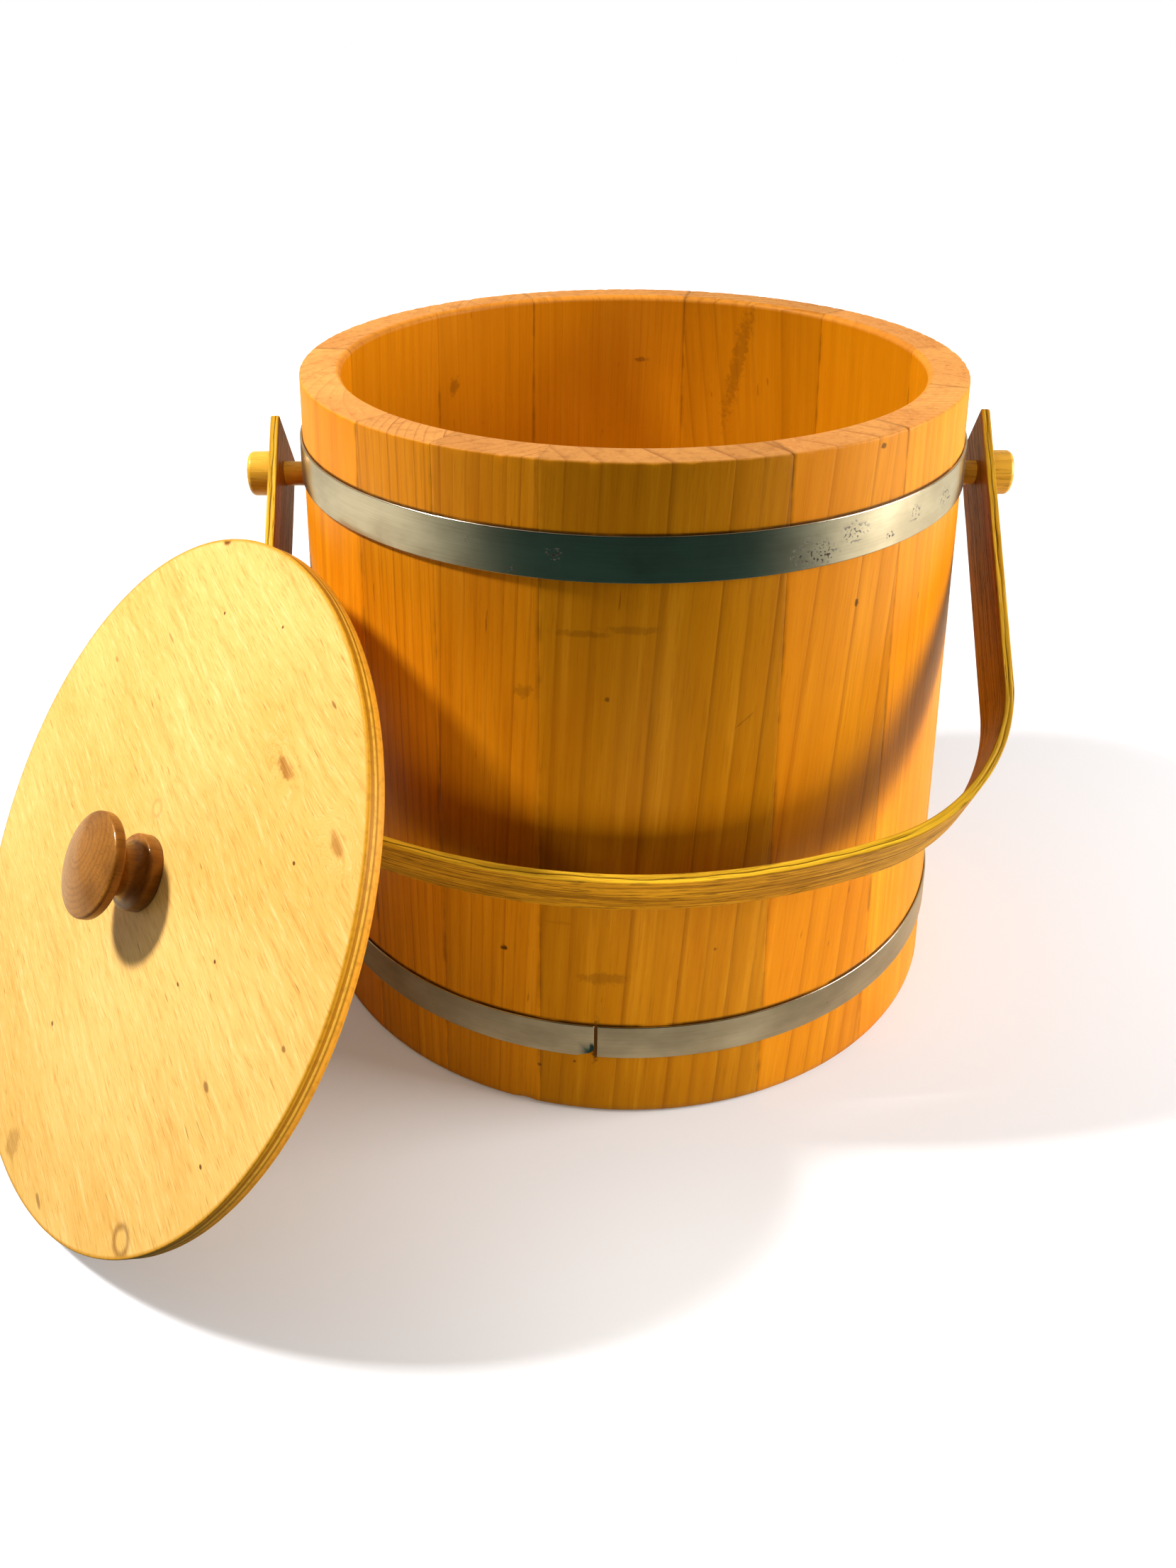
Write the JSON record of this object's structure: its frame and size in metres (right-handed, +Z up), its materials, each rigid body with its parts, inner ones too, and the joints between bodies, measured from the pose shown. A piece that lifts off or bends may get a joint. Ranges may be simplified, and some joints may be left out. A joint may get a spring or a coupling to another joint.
{
  "type": "firkin",
  "caption": "Small covered wooden tub of tapered staves in steel hoops, with a swinging bent-wood bail and its round knobbed lid leaning beside it.",
  "frame": {"origin": "on the tub's axis, in the plane of the floor at the foot of the staves", "axes": "+Z up along the tub's axis; the bail's pegs lie along X; -Y is the front, where the bail rests against the staves"},
  "size_m": [0.4265, 0.3844, 0.259],
  "materials": {
    "stave_wood": "honey-coloured lacquer",
    "bottom_wood": "honey-coloured lacquer",
    "hoop_steel": "brushed, lightly spotted",
    "peg_wood": "glossy lacquer",
    "bail_wood": "worn lacquer",
    "lid_plywood": "pale lacquered birch plywood",
    "knob_wood": "glossy brown lacquer",
    "screw_steel": "plain steel"
  },
  "bodies": {
    "tub": {"stave_1": "stave_wood", "stave_2": "stave_wood", "stave_3": "stave_wood", "stave_4": "stave_wood", "stave_5": "stave_wood", "stave_6": "stave_wood", "stave_7": "stave_wood", "stave_8": "stave_wood", "stave_9": "stave_wood", "stave_10": "stave_wood", "stave_11": "stave_wood", "stave_12": "stave_wood", "bottom_board_left": "bottom_wood", "bottom_board_middle": "bottom_wood", "bottom_board_right": "bottom_wood", "upper_hoop": "hoop_steel", "lower_hoop": "hoop_steel", "left_peg": "peg_wood", "right_peg": "peg_wood"},
    "bail": {"bail_handle": "bail_wood"},
    "lid": {"lid_panel": "lid_plywood", "lid_locating_disc": "lid_plywood", "lid_knob": "knob_wood", "knob_screw": "screw_steel"}
  },
  "joints": [
    {"name": "bail_swing", "type": "hinge", "parent": "tub", "child": "bail", "pos_m": [0, 0, 0.2134], "axis": [-1, 0, 0], "range_deg": [0, 248.4]},
    {"name": "lid_lift", "type": "slide", "parent": "tub", "child": "lid", "axis": [-0.6626, -0.485, 0.5707], "range_m": [0, 0.434]}
  ],
  "couplings": [
    {"joint": "lid_lift", "follows": "bail_swing", "m_per_rad": 0.1}
  ]
}
